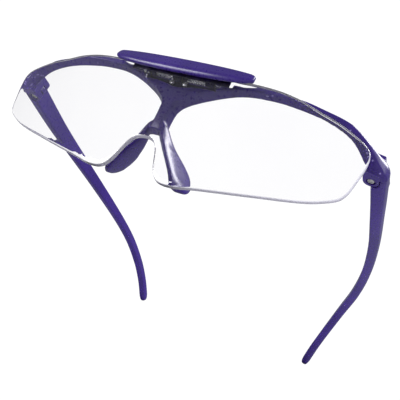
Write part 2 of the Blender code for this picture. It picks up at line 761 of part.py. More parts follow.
flip = joint_empty("axis_flip", (0, PIN_Y, PIN_Z))
fold_r = joint_empty("axis_temple_right", (HINGE_X, HINGE_Y, HINGE_Z))
fold_l = joint_empty("axis_temple_left", (-HINGE_X, HINGE_Y, HINGE_Z))

violet = lambda n: principled(n, VIOLET, 0.18)
P = (0, PIN_Y, PIN_Z)
HR = (HINGE_X, HINGE_Y, HINGE_Z)
HL = (-HINGE_X, HINGE_Y, HINGE_Z)

new_object("frame_front", frame_bm, violet("frame_front"))
new_object("lens_shield", lens_bm, principled("lens_shield", (0.92, 0.94, 0.95), 0.03, 0, 0.25),
           flip, origin=P)
new_object("flip_bar", bar_bm, violet("flip_bar"), flip, origin=P)
new_object("hinge_bracket", make_bracket(), principled("hinge_bracket", BLACK, 0.3))
new_object("lens_carrier", make_carrier(), principled("lens_carrier", BLACK, 0.3), flip, origin=P)
new_object("hinge_pin", make_pin(), principled("hinge_pin", STEEL, 0.2, 1.0), origin=P)
for side, sgn in (("right", 1), ("left", -1)):
    for nm, fn, host in (("pin_cap", make_cap, None), ("spring", make_spring, None),
                         ("carrier_screw", make_carrier_screw, flip),
                         ("bracket_screw", make_bracket_screw, None)):
        b = fn()
        if sgn < 0:
            m = mirrored(b)
            b.free()
            b = m
        new_object(nm + "_" + side, b, principled(nm + "_" + side, STEEL, 0.22, 1.0), host, origin=P)
temple_l = mirrored(temple_bm)
new_object("temple_right", temple_bm, violet("temple_right"), fold_r, origin=HR)
new_object("temple_left", temple_l, violet("temple_left"), fold_l, origin=HL)
for side, sgn, o in (("right", 1, HR), ("left", -1, HL)):
    for nm, fn in (("hinge_screw", make_hinge_screw), ("hinge_washer", make_hinge_washer),
                   ("hinge_nut", make_hinge_nut)):
        b = fn()
        if sgn < 0:
            m = mirrored(b)
            b.free()
            b = m
        new_object(nm + "_" + side, b, principled(nm + "_" + side, STEEL, 0.25, 1.0), origin=o)
bpy.context.view_layer.update()
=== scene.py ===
"""Looks of the flip-up magnifying loupe spectacles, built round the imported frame.

Every visual piece is drawn in the worn frame (millimetres, temples level at the
hinges), like the frame's own solids, and then placed by the joints' own
positions, so a piece lands where its solid is."""
import bpy
import bmesh
import json
import math
import numpy as np
from mathutils import Matrix, Vector
from mathutils.geometry import delaunay_2d_cdt
from mathutils.kdtree import KDTree


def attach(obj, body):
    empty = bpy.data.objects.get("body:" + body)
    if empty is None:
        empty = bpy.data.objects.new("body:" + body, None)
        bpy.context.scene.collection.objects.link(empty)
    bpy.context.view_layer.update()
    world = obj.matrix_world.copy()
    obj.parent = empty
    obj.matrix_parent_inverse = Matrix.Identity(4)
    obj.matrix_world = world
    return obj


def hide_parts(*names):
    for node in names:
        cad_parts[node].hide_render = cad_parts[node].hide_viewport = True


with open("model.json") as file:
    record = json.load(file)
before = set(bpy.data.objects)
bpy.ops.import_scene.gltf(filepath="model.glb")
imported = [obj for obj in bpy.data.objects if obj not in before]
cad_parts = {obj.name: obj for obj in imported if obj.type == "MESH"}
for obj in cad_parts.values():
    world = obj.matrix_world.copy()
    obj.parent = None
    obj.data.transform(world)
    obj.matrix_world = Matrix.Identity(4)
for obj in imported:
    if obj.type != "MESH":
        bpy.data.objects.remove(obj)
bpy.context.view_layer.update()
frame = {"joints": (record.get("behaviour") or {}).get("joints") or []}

MM = 0.001

# ---------------------------------------------------------------- dimensions
LENS_Y0 = 0.9
LENS_LEAN = 0.10
LENS_WRAP = 0.0023
LENS_T = 1.8
LENS_TAB_HALF = 18.4
LENS_TAB_Z = 12.4
PIN_Y, PIN_Z = 4.6, 10.3
PIN_R = 0.62
PIN_HALF = 13.3
EYE_R = 0.95
KNUCKLE_R = 1.55
SPRING_R = 1.22
SPRING_WIRE = 0.27
BAR_HALF = 25.4
BAR_LAND = 14.6
SCREW_X, SCREW_Z = 15.9, 11.5
BSCREW_X, BSCREW_Z = 2.4, 7.55
HINGE_X, HINGE_Y, HINGE_Z = 65.6, 21.3, 3.15
BARREL_R = 2.5
BARREL_LOW, BARREL_HIGH = -0.7, 7.0
SLOT_LOW, SLOT_HIGH = 1.75, 4.55
HSCREW_R = 0.7
TEMPLE_START = 20.3
FRAME_END = 19.95

scene = bpy.context.scene
coll = scene.collection

# ---------------------------------------------------------------- worn frame
JOINT = {j["name"]: j for j in frame["joints"]}


def joint_pos(j):
    for k in ("pos_m", "pos", "anchor_m"):
        if k in j:
            return Vector(j[k])


flip_at = joint_pos(JOINT["lens_flip"])
up = Vector(JOINT["temple_right_fold"]["axis"]).normalized()
TILT = math.atan2(-up.y, up.z)
ROT = Matrix.Rotation(TILT, 4, "X")
WORN = Matrix.Translation(flip_at - ROT @ (Vector((0, PIN_Y, PIN_Z)) * MM)) @ ROT
TO_WORLD = WORN @ Matrix.Scale(MM, 4)


# ---------------------------------------------------------------- helpers
def curve(points):
    """Smooth function through (s, value) points, monotone between them."""
    points = sorted(points)
    s = np.array([p[0] for p in points], float)
    v = np.array([p[1] for p in points], float)
    h = np.diff(s)
    d = np.diff(v) / h
    m = np.zeros(len(s))
    m[0], m[-1] = d[0], d[-1]
    for i in range(1, len(s) - 1):
        if d[i - 1] * d[i] > 0:
            w1, w2 = 2 * h[i] + h[i - 1], h[i] + 2 * h[i - 1]
            m[i] = (w1 + w2) / (w1 / d[i - 1] + w2 / d[i])

    def f(x):
        x = min(max(x, s[0]), s[-1])
        i = min(int(np.searchsorted(s, x, side="right")) - 1, len(h) - 1)
        t = (x - s[i]) / h[i]
        return float((2 * t ** 3 - 3 * t ** 2 + 1) * v[i]
                     + (t ** 3 - 2 * t ** 2 + t) * h[i] * m[i]
                     + (-2 * t ** 3 + 3 * t ** 2) * v[i + 1]
                     + (t ** 3 - t ** 2) * h[i] * m[i + 1])
    return f


def loft(rings, closed=False):
    bm = bmesh.new()
    vs = [[bm.verts.new(p) for p in r] for r in rings]
    n = len(vs[0])
    pairs = list(zip(vs, vs[1:]))
    if closed:
        pairs.append((vs[-1], vs[0]))
    for a, b in pairs:
        for i in range(n):
            j = (i + 1) % n
            bm.faces.new((a[i], a[j], b[j], b[i]))
    if not closed:
        bm.faces.new(list(reversed(vs[0])))
        bm.faces.new(vs[-1])
    bmesh.ops.recalc_face_normals(bm, faces=bm.faces[:])
    return bm


def prism(outline, axis, lo, hi):
    def put(p, t):
        q = [p[0], p[1]]
        q.insert(axis, t)
        return q
    return loft([[put(p, lo) for p in outline], [put(p, hi) for p in outline]])


def circle(c, r, n=40, start=0.0):
    return [(c[0] + r * math.cos(start + 2 * math.pi * i / n),
             c[1] + r * math.sin(start + 2 * math.pi * i / n)) for i in range(n)]


def rod(axis, c, r, lo, hi, n=40):
    return prism(circle(c, r, n), axis, lo, hi)


def box(lo, hi):
    return prism([(lo[0], lo[1]), (hi[0], lo[1]), (hi[0], hi[1]), (lo[0], hi[1])],
                 2, lo[2], hi[2])


def merge(*bms):
    out = bmesh.new()
    for b in bms:
        me = bpy.data.meshes.new("tmp")
        b.to_mesh(me)
        out.from_mesh(me)
        bpy.data.meshes.remove(me)
        b.free()
    return out


def with_modifiers(bm, *mods):
    """Runs modifiers over a bmesh and returns the result."""
    me = bpy.data.meshes.new("tmp")
    bm.to_mesh(me)
    bm.free()
    ob = bpy.data.objects.new("tmp", me)
    coll.objects.link(ob)
    for kind, props in mods:
        md = ob.modifiers.new(kind, kind)
        for k, v in props.items():
            setattr(md, k, v)
    bpy.context.view_layer.update()
    ev = ob.evaluated_get(bpy.context.evaluated_depsgraph_get())
    out = bmesh.new()
    out.from_mesh(ev.to_mesh())
    ev.to_mesh_clear()
    bpy.data.objects.remove(ob)
    bpy.data.meshes.remove(me)
    return out


def boolean(base, tool, op):
    for b in (base, tool):
        bmesh.ops.recalc_face_normals(b, faces=b.faces[:])
    me = bpy.data.meshes.new("tool")
    tool.to_mesh(me)
    tool.free()
    o = bpy.data.objects.new("tool", me)
    coll.objects.link(o)
    out = with_modifiers(base, ("BOOLEAN", {"object": o, "operation": op, "solver": "EXACT"}))
    bpy.data.objects.remove(o)
    bpy.data.meshes.remove(me)
    bmesh.ops.remove_doubles(out, verts=out.verts[:], dist=0.002)
    bmesh.ops.dissolve_degenerate(out, edges=out.edges[:], dist=0.002)
    return out


def union(first, *rest):
    for r in rest:
        first = boolean(first, r, "UNION")
    return first


def cut(first, *rest):
    for r in rest:
        first = boolean(first, r, "DIFFERENCE")
    return first


def moulded(bm, voxel=0.22, rounds=6, factor=0.5):
    """Evens a solid out to a fine skin and eases every edge and inner corner by
    a fraction of a millimetre, the way a moulded part leaves its tool."""
    bmesh.ops.triangulate(bm, faces=bm.faces[:])
    return with_modifiers(
        bm,
        ("REMESH", {"mode": "VOXEL", "voxel_size": voxel, "adaptivity": 0.0}),
        ("SMOOTH", {"factor": factor, "iterations": rounds}))


def mirrored(bm):
    b = bm.copy()
    bmesh.ops.transform(b, matrix=Matrix.Scale(-1, 4, (1, 0, 0)), verts=b.verts[:])
    bmesh.ops.reverse_faces(b, faces=b.faces[:])
    return b


def rounded(corners, radius, steps=4):
    out = []
    n = len(corners)
    for i in range(n):
        p = Vector(corners[i])
        a, b = Vector(corners[i - 1]), Vector(corners[(i + 1) % n])
        r = radius[i] if isinstance(radius, (list, tuple)) else radius
        ra = min(r, (a - p).length * 0.45)
        rb = min(r, (b - p).length * 0.45)
        p0, p1 = p + (a - p).normalized() * ra, p + (b - p).normalized() * rb
        for k in range(steps + 1):
            t = k / steps
            out.append(tuple((1 - t) ** 2 * p0 + 2 * t * (1 - t) * p + t * t * p1))
    return out


def piece(name, bm, mat, body, nodes, slot, smooth=None):
    """Places a worn-frame bmesh in the world as a piece that stands for nodes."""
    bmesh.ops.recalc_face_normals(bm, faces=bm.faces[:])
    bmesh.ops.transform(bm, matrix=TO_WORLD, verts=bm.verts[:])
    me = bpy.data.meshes.new(name)
    bm.to_mesh(me)
    bm.free()
    me.shade_smooth()
    if smooth:
        me.set_sharp_from_angle(angle=math.radians(smooth))
    ob = bpy.data.objects.new(name, me)
    coll.objects.link(ob)
    me.materials.append(mat)
    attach(ob, body)
    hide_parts(*nodes)
    return ob


# ---------------------------------------------------------------- materials
class Mat:
    """A Principled material and small helpers to wire procedural detail."""

    def __init__(self, name):
        self.m = bpy.data.materials.new(name)
        self.m.use_nodes = True
        self.t = self.m.node_tree
        self.b = self.t.nodes["Principled BSDF"]
        self.co = self.t.nodes.new("ShaderNodeTexCoord").outputs["Object"]

    def set(self, **kw):
        for k, v in kw.items():
            self.b.inputs[k.replace("_", " ")].default_value = v

    def noise(self, scale, detail=3.0, rough=0.5, stretch=None):
        n = self.t.nodes.new("ShaderNodeTexNoise")
        n.inputs["Scale"].default_value = scale
        n.inputs["Detail"].default_value = detail
        n.inputs["Roughness"].default_value = rough
        src = self.co
        if stretch:
            mp = self.t.nodes.new("ShaderNodeMapping")
            mp.inputs["Scale"].default_value = stretch
            self.t.links.new(self.co, mp.inputs["Vector"])
            src = mp.outputs["Vector"]
        self.t.links.new(src, n.inputs["Vector"])
        return n.outputs["Fac"]

    def ramp(self, fac, stops):
        r = self.t.nodes.new("ShaderNodeValToRGB")
        e = r.color_ramp.elements
        while len(e) < len(stops):
            e.new(0.5)
        for el, (p, c) in zip(e, stops):
            el.position = p
            el.color = (*c, 1.0) if not isinstance(c, (int, float)) else (c, c, c, 1.0)
        self.t.links.new(fac, r.inputs["Fac"])
        return r.outputs["Color"]

    def range(self, fac, lo, hi, a=0.0, b=1.0):
        n = self.t.nodes.new("ShaderNodeMapRange")
        n.inputs["From Min"].default_value = a
        n.inputs["From Max"].default_value = b
        n.inputs["To Min"].default_value = lo
        n.inputs["To Max"].default_value = hi
        self.t.links.new(fac, n.inputs["Value"])
        return n.outputs["Result"]

    def mix(self, a, b, fac):
        n = self.t.nodes.new("ShaderNodeMix")
        n.data_type = "RGBA"
        for val, sock in ((fac, n.inputs["Factor"]), (a, n.inputs[6]), (b, n.inputs[7])):
            if isinstance(val, bpy.types.NodeSocket):
                self.t.links.new(val, sock)
            elif isinstance(val, (tuple, list)):
                sock.default_value = (*val, 1.0)
            else:
                sock.default_value = val
        return n.outputs[2]

    def math(self, op, a, b):
        n = self.t.nodes.new("ShaderNodeMath")
        n.operation = op
        for val, sock in ((a, n.inputs[0]), (b, n.inputs[1])):
            if isinstance(val, bpy.types.NodeSocket):
                self.t.links.new(val, sock)
            else:
                sock.default_value = val
        return n.outputs[0]

    def to(self, name, out):
        self.t.links.new(out, self.b.inputs[name])

    def bump(self, height, strength, distance):
        n = self.t.nodes.new("ShaderNodeBump")
        n.inputs["Strength"].default_value = strength
        n.inputs["Distance"].default_value = distance
        self.t.links.new(height, n.inputs["Height"])
        self.to("Normal", n.outputs["Normal"])

    def edge_highlight_mask(self, lo=0.52, hi=0.62):
        """0 to 1 along convex edges, where the painted edge highlight is laid."""
        g = self.t.nodes.new("ShaderNodeNewGeometry")
        return self.range(g.outputs["Pointiness"], 0.0, 1.0, lo, hi)


def srgb(r, g, b):
    def f(c):
        c /= 255.0
        return c / 12.92 if c <= 0.04045 else ((c + 0.055) / 1.055) ** 2.4
    return (f(r), f(g), f(b))


def violet_plastic(name, rim):
    """Glossy deep violet nylon: cloudy pigment, a little orange peel, hairline
    handling scratches, and a painted highlight: pale lilac laid along convex edges."""
    m = Mat(name)
    m.set(Metallic=0.0, IOR=1.5, Specular_IOR_Level=0.5, Coat_Weight=0.25,
          Coat_Roughness=0.16, Coat_IOR=1.5)
    cloud = m.noise(55.0, 4.0, 0.55)
    base = m.ramp(cloud, [(0.30, srgb(36, 14, 96)), (0.52, srgb(42, 19, 106)),
                          (0.74, srgb(49, 25, 116))])
    # painted highlight: pale lilac mixed in along convex edges, scaled by rim, standing in for light
    # caught on the ridges
    ridge_highlight = m.edge_highlight_mask(0.53, 0.61)
    col = m.mix(base, srgb(146, 134, 198), m.math("MULTIPLY", ridge_highlight, rim))
    m.to("Base Color", col)
    fine = m.noise(900.0, 5.0, 0.6)
    scratch = m.noise(60.0, 2.0, 0.5, (16.0, 1.0, 16.0))
    rough = m.range(fine, 0.26, 0.31, 0.3, 0.7)
    rough = m.math("ADD", rough, m.range(scratch, 0.0, 0.03, 0.58, 0.72))
    m.to("Roughness", rough)
    peel = m.noise(260.0, 2.0, 0.4)
    height = m.math("ADD", m.math("MULTIPLY", peel, 0.8), m.math("MULTIPLY", fine, 0.1))
    m.bump(height, 0.02, 0.00003)
    return m.m


def clear_plastic():
    """Clear polished polycarbonate; its ground rim is paler and less clear."""
    m = Mat("clear_plastic")
    m.set(Metallic=0.0, IOR=1.49, Specular_IOR_Level=0.5)
    split = m.t.nodes.new("ShaderNodeSeparateXYZ")
    coord = m.t.nodes.new("ShaderNodeTexCoord")
    m.t.links.new(coord.outputs["Normal"], split.inputs["Vector"])
    facing = m.math("ABSOLUTE", split.outputs["Y"], 0.0)
    rim = m.range(facing, 1.0, 0.0, 0.55, 0.9)
    haze = m.noise(300.0, 3.0, 0.5)
    rough = m.range(haze, 0.0, 0.02, 0.45, 0.8)
    grind = m.range(m.noise(1200.0, 3.0, 0.6), 0.10, 0.28, 0.3, 0.7)
    m.to("Roughness", m.math("ADD", rough, m.math("MULTIPLY", rim, grind)))
    m.to("Transmission Weight", m.range(rim, 1.0, 0.35))
    face = m.ramp(m.noise(40.0), [(0.3, (0.965, 0.962, 0.980)), (0.7, (0.985, 0.984, 0.992))])
    m.to("Base Color", m.mix(face, srgb(198, 196, 212), rim))
    m.bump(m.noise(35.0, 1.0, 0.4), 0.03, 0.00006)
    return m.m


def black_plastic():
    """Dark indigo moulded hinge plastic, satin with a fine grain."""
    m = Mat("black_plastic")
    m.set(Metallic=0.0, IOR=1.5, Specular_IOR_Level=0.3, Coat_Weight=0.05, Coat_Roughness=0.2)
    m.to("Base Color", m.ramp(m.noise(90.0, 4.0), [(0.3, srgb(10, 4, 38)), (0.7, srgb(18, 9, 56))]))
    grain = m.noise(1400.0, 4.0, 0.6)
    m.to("Roughness", m.range(grain, 0.24, 0.42, 0.3, 0.7))
    m.bump(grain, 0.14, 0.00005)
    return m.m


def steel(name="steel", tint=(0.80, 0.80, 0.83), lo=0.14, hi=0.34):
    """Bright nickel-plated steel with turning marks and small scuffs."""
    m = Mat(name)
    m.set(Metallic=1.0)
    streak = m.noise(700.0, 3.0, 0.6, (1.0, 9.0, 9.0))
    scuff = m.noise(500.0, 4.0, 0.6)
    m.to("Base Color", m.ramp(scuff, [(0.3, tuple(c * 0.84 for c in tint)), (0.7, tint)]))
    m.to("Roughness", m.range(streak, lo, hi, 0.3, 0.7))
    m.bump(streak, 0.12, 0.00003)
    return m.m


def nylon():
    """Natural nylon washer."""
    m = Mat("nylon")
    m.set(Metallic=0.0, Subsurface_Weight=0.15, Subsurface_Radius=(0.001, 0.001, 0.0008))
    m.to("Base Color", m.ramp(m.noise(300.0), [(0.3, (0.70, 0.70, 0.66)), (0.7, (0.80, 0.80, 0.77))]))
    g = m.noise(1500.0)
    m.to("Roughness", m.range(g, 0.45, 0.6, 0.3, 0.7))
    m.bump(g, 0.1, 0.00004)
    return m.m


# the second argument scales the painted edge highlight: strong on the front moulding, almost none on
# the grip bar and temples
VIOLET = violet_plastic("violet_plastic", 0.65)
VIOLET_BAR = violet_plastic("violet_bar", 0.05)
CLEAR = clear_plastic()
DARK = black_plastic()
STEEL = steel()
NYLON = nylon()


# ---------------------------------------------------------------- lens shield
def lens_y(x, z):
    return LENS_Y0 - LENS_LEAN * z + LENS_WRAP * x * x


LENS_TOP = curve([(0, 10.6), (22, 10.9), (26, 11.4), (33, 11.6), (40, 11.0),
                  (47, 9.2), (53, 7.9), (59, 5.8), (64.2, 3.1), (65.2, 1.6)])
LENS_BOT = curve([(0, -15.4), (2.3, -15.6), (4.4, -17.2), (5.9, -21.0),
                  (7.4, -25.2), (8.9, -27.6), (11.2, -28.8), (14, -28.8),
                  (21, -27.3), (39, -23.1), (54.3, -18.6), (58.5, -16.4),
                  (61.3, -14.6), (62.9, -11.4), (64.0, -6.6), (64.9, -2.6),
                  (65.2, 1.4)])


def lens_outline():
    """Closed outline of the shield in (x, z), the tab left out."""
    xs = [65.2 * math.sin(0.5 * math.pi * k / 220) for k in range(221)]
    extra = list(np.linspace(0, 16, 90))
    xs = sorted(set([round(v, 4) for v in xs + extra]))
    top = [(x, LENS_TOP(x)) for x in xs]
    bot = [(x, LENS_BOT(x)) for x in xs]
    right = top + list(reversed(bot))
    # even spacing along the path
    pts = [Vector(p) for p in right]
    out = [pts[0]]
    step = 0.55
    acc = 0.0
    for a, b in zip(pts, pts[1:]):
        seg = (b - a).length
        if seg < 1e-9:
            continue
        d = step - acc
        while d <= seg:
            out.append(a + (b - a) * (d / seg))
            d += step
        acc = seg - (d - step)
    if (out[-1] - pts[-1]).length > 0.2:
        out.append(pts[-1])
    else:
        out[-1] = pts[-1]
    # ease small kinks
    for _ in range(12):
        nw = [out[0]]
        for i in range(1, len(out) - 1):
            nw.append(out[i] * 0.5 + (out[i - 1] + out[i + 1]) * 0.25)
        nw.append(out[-1])
        out = nw
    right = [(p.x, p.y) for p in out]
    left = [(-x, z) for x, z in reversed(right[1:-1])]
    return right + left


def make_lens():
    """Clear shield: evenly ringed rim with rounded edges, smooth faces."""
    outline = lens_outline()
    n = len(outline)
    P = [Vector(p) for p in outline]
    area = sum(P[i].x * P[(i + 1) % n].y - P[(i + 1) % n].x * P[i].y for i in range(n))
    sgn = 1.0 if area > 0 else -1.0
    normal = []
    for i in range(n):
        t = (P[(i + 1) % n] - P[i - 1]).normalized()
        normal.append(Vector((t.y, -t.x)) * sgn)

    def inset(d):
        return [P[i] - normal[i] * d for i in range(n)]

    def ring(d, back):
        """Ring inset by d from the rim, at a share back of the thickness."""
        out = []
        for p in inset(d):
            out.append((p.x, lens_y(p.x, p.y) + LENS_T * back, p.y))
        return out
    r = 0.42
    prof = []
    for k in range(7):
        a = 0.5 * math.pi * k / 6
        prof.append((r * (1 - math.sin(a)), (r * (1 - math.cos(a))) / LENS_T))
    rim = prof + [(0.0, 0.5)] + [(d, 1 - b) for d, b in reversed(prof)]
    rings = [ring(d, b) for d, b in rim]
    bm = bmesh.new()
    vs = [[bm.verts.new(p) for p in rg] for rg in rings]
    for a, b in zip(vs, vs[1:]):
        for i in range(n):
            j = (i + 1) % n
            bm.faces.new((a[i], a[j], b[j], b[i]))
    # the two faces: a fine even net inside the rim, laid on the cylinder
    edge = [Vector((p.x, p.y)) for p in inset(r)]
    tree = KDTree(n)
    for i, p in enumerate(edge):
        tree.insert((p.x, p.y, 0), i)
    tree.balance()
    inner = []
    sx, sz = 1.1, 0.95
    row = 0
    for z in np.arange(-30.0, 13.0, sz):
        row += 1
        for x in np.arange(-66.0, 66.0, sx):
            px = x + (0.5 * sx if row % 2 else 0.0)
            if tree.find((px, z, 0))[2] < 0.62:
                continue
            inside = False
            for i in range(n):
                a, b = edge[i], edge[(i + 1) % n]
                if (a.y > z) != (b.y > z) and px < a.x + (z - a.y) * (b.x - a.x) / (b.y - a.y):
                    inside = not inside
            if inside:
                inner.append(Vector((px, z)))
    co, _, faces, orig, _, _ = delaunay_2d_cdt(edge + inner, [(i, (i + 1) % n) for i in range(n)],
                                               [list(range(n))], 1, 1e-5)
    where = {}
    for i, o in enumerate(orig):
        for k in o:
            if k < n:
                where[i] = k
    for back, rim_ring in ((0.0, vs[0]), (1.0, vs[-1])):
        made = []
        for i, p in enumerate(co):
            if i in where:
                made.append(rim_ring[where[i]])
            else:
                made.append(bm.verts.new((p.x, lens_y(p.x, p.y) + LENS_T * back, p.y)))
        for f in faces:
            bm.faces.new([made[i] for i in (f if back else reversed(f))])
    bmesh.ops.recalc_face_normals(bm, faces=bm.faces[:])
    return bm


# ---------------------------------------------------------------- front frame
BROW = [
    (0.0, 4.4, 0.0, 9.0, 11.9, 2.0, 1.4),
    (6.0, 4.5, 6.0, 9.0, 11.9, 3.9, 3.2),
    (10.5, 4.7, 10.4, 9.0, 11.9, 6.3, 5.6),
    (15.5, 4.9, 15.2, 8.9, 11.9, 8.6, 8.0),
    (21.0, 5.3, 20.6, 8.7, 12.1, 10.4, 9.9),
    (27.0, 5.8, 26.4, 9.0, 13.3, 11.5, 11.0),
    (34.0, 6.3, 33.2, 9.5, 13.7, 12.0, 11.3),
    (41.0, 6.9, 40.0, 10.1, 13.3, 11.8, 10.8),
    (48.0, 8.0, 46.8, 11.1, 12.3, 10.8, 10.0),
    (54.0, 9.2, 52.6, 12.2, 11.4, 9.3, 8.5),
    (59.5, 10.8, 57.6, 13.7, 9.9, 7.1, 6.4),
    (64.0, 12.8, 61.4, 15.6, 8.2, 3.9, 3.0),
    (67.6, 15.3, 63.9, 17.5, 7.4, 1.0, 0.2),
    (69.8, 17.9, 65.3, 18.9, 7.1, -0.5, -0.6),
    (70.5, FRAME_END, 65.5, FRAME_END, 7.0, -0.7, -0.7),
]
EASE = 0.10     # the eased skin of a moulding pulls its corners in by this


def make_brow():
    fs = [curve([(i, row[k]) for i, row in enumerate(BROW)]) for k in range(7)]
    n = len(BROW) - 1
    side = []
    for u in np.linspace(0, n, 113):
        xo, yo, xi, yi, zt, zr, zb = [f(u) for f in fs]
        o, i = Vector((xo, yo)), Vector((xi, yi))
        d = (i - o).length
        n2 = (i - o) / d
        end = min(1.0, max(0.0, (u - 9.5) / 2.5))
        sec = rounded([(0.0, zt - 2.2 * end), (0.0, zr), (d, zb), (d, zt - 0.4)],
                      [0.9 + 2.3 * end, 0.22 + 1.2 * end, 0.6, 0.7], 7)
        side.append([(o.x + n2.x * a, o.y + n2.y * a, z) for a, z in sec])
    left = [[(-p[0], p[1], p[2]) for p in ring] for ring in side[1:]]
    return loft(list(reversed(left)) + side)


def make_neck():
    half_front = curve([(-14, 2.6), (-11, 1.9), (-6, 1.5), (-2, 1.7), (0.5, 2.6),
                        (3, 5.2), (5.6, 8.6)])
    half_rear = curve([(-14, 3.6), (-11, 3.2), (-6, 2.9), (-2, 3.1), (0.5, 4.0),
                       (3, 6.4), (5.6, 10.0)])
    y_front = curve([(-14, 6.0), (-8, 4.9), (-2, 4.4), (6, 4.4)])
    y_rear = curve([(-14, 10.5), (-8, 9.0), (-2, 8.6), (6, 9.0)])
    rings = []
    for z in np.linspace(5.6, -10.6, 60):
        a, b, yf, yr = half_front(z), half_rear(z), y_front(z), y_rear(z)
        sec = rounded([(-a, yf), (a, yf), (b, yr), (-b, yr)], 0.35, 4)
        rings.append([(p[0], p[1], z) for p in sec])
    return loft(rings)


ARM_AX = curve([(-7, 0.7), (-12, 1.8), (-15, 3.6), (-19, 6.5), (-22, 8.7), (-26, 11.2)])
ARM_AY = curve([(-7, 5.6), (-12, 6.0), (-15, 6.8), (-19, 8.0), (-22, 8.9), (-26, 10.2)])
ARM_BX = curve([(-7, 1.3), (-12, 4.6), (-15, 8.3), (-17, 10.2), (-19, 11.4), (-22, 12.5),
                (-24, 12.9), (-26, 12.4)])
ARM_BY = curve([(-7, 7.9), (-10, 10.2), (-12, 13.0), (-14, 17.0), (-16, 20.0),
                (-18, 21.0), (-20, 20.9), (-22, 19.8), (-24, 17.6), (-26, 13.4)])
ARM_T = curve([(-7, 1.0), (-9, 2.0), (-12, 2.4), (-17, 2.7), (-22, 2.8), (-24.5, 2.3), (-26, 1.3)])


def make_arm():
    rings = []
    for z in np.linspace(-7, -26, 90):
        a = Vector((ARM_AX(z), ARM_AY(z)))
        b = Vector((ARM_BX(z), ARM_BY(z)))
        u = (b - a)
        n = Vector((u.y, -u.x)).normalized()
        t = ARM_T(z)
        ring = []
        m = 40
        for k in range(m):
            ang = 2 * math.pi * k / m
            ca, sa = math.cos(ang), math.sin(ang)
            along = 0.5 + 0.5 * math.copysign(abs(ca) ** 0.75, ca)
            off = 0.5 * t * math.copysign(abs(sa) ** 0.8, sa)
            p = a + u * along + n * (off + 0.5 * t)
            ring.append((p.x, p.y, z))
        rings.append(ring)
    return loft(rings)


def hinge_barrel():
    out = []
    for k in range(33):
        a = math.pi * k / 32
        out.append((HINGE_X + BARREL_R * math.cos(a), HINGE_Y + BARREL_R * math.sin(a)))
    out += [(HINGE_X - BARREL_R, 17.4), (HINGE_X - 1.2, 16.2), (HINGE_X + BARREL_R, 17.4)]
    return prism(out, 2, BARREL_LOW, BARREL_HIGH)


POCKET = curve([(0, 5.9), (1.5, 6.1), (4, 6.7), (8, 7.45), (11, 7.65), (13.2, 7.7)])
POCKET_HALF = 13.4
SHELF_Z = 10.45
SHELF_HALF = 17.9


def pocket_floor(x):
    return POCKET(min(abs(x), 13.2))


def make_frame():
    body = cut(union(make_brow(), make_neck()), rod(1, (0, -12.0), 1.5, 0, 14, 32))
    arm = make_arm()
    body = union(body, mirrored(arm), arm)
    for sgn in (1, -1):
        b = hinge_barrel()
        slot = rod(2, (HINGE_X, HINGE_Y), BARREL_R + 0.35, SLOT_LOW, SLOT_HIGH, 48)
        behind = box((HINGE_X - 6, HINGE_Y + 0.01, SLOT_LOW), (HINGE_X + 6, HINGE_Y + 6, SLOT_HIGH))
        eye = rod(2, (HINGE_X, HINGE_Y), HSCREW_R + 0.3, -2, 12, 24)
        head = rod(2, (HINGE_X, HINGE_Y), 1.5, -2, BARREL_LOW + 1.2, 32)
        nut = rod(2, (HINGE_X, HINGE_Y), 1.75, BARREL_HIGH - 1.2, 12, 32)
        parts = [b, slot, behind, eye, head, nut]
        if sgn < 0:
            parts = [mirrored(p) for p in parts]
        b, slot, behind, eye, head, nut = parts
        body = union(body, b)
        body = cut(body, slot, behind, eye, head, nut)
    floor = [(x, pocket_floor(x)) for x in np.linspace(-POCKET_HALF, POCKET_HALF, 61)]
    side = [(POCKET_HALF + 0.9, SHELF_Z), (SHELF_HALF, SHELF_Z), (SHELF_HALF + 1.0, 20)]
    body = cut(body, prism(floor + side + [(-x, z) for x, z in reversed(side)], 1, -4, 6.6))
    outline = [(POCKET_HALF, 9.4)] + side
    body = cut(body, prism(outline + [(-x, z) for x, z in reversed(outline)], 1, 2, 7.3))
    holes = merge(*[rod(1, (sx * BSCREW_X, BSCREW_Z), 0.68, 3, 9.0, 20) for sx in (-1, 1)])
    body = cut(body, holes)
    return moulded(body, 0.21, 5)


# ---------------------------------------------------------------- flip hinge
def ring_x(lo, hi, r, n=40):
    return rod(0, (PIN_Y, PIN_Z), r, lo, hi, n)


def eye_x():
    return rod(0, (PIN_Y, PIN_Z), EYE_R, -20, 20, 28)


FRAME_EARS = [(-12.6, -11.2), (-0.75, 0.75), (11.2, 12.6)]
LENS_EARS = [(-10.9, -9.3), (-2.7, -1.05), (1.05, 2.7), (9.3, 10.9)]
SPRING_SPAN = (3.1, 8.9)


def make_bracket():
    rings = []
    for x in np.linspace(-12.9, 12.9, 45):
        low = pocket_floor(x) + 0.35
        rings.append([(x, 5.0, low), (x, 6.3, low), (x, 6.3, 8.55), (x, 5.0, 8.55)])
    body = loft(rings)
    for lo, hi in FRAME_EARS:
        out = []
        for k in range(29):
            a = math.radians(-40) + math.radians(230) * k / 28
            out.append((PIN_Y + KNUCKLE_R * math.cos(a), PIN_Z + KNUCKLE_R * math.sin(a)))
        out += [(3.7, 8.3), (5.1, 7.9 if lo * hi < 0 else 8.3), (6.2, 8.52)]
        body = union(body, prism(out, 0, lo, hi))
    body = cut(body, eye_x())
    holes = merge(*[rod(1, (sx * BSCREW_X, BSCREW_Z), 0.68, 2, 9.0, 20) for sx in (-1, 1)])
    return moulded(cut(body, holes), 0.12, 3)


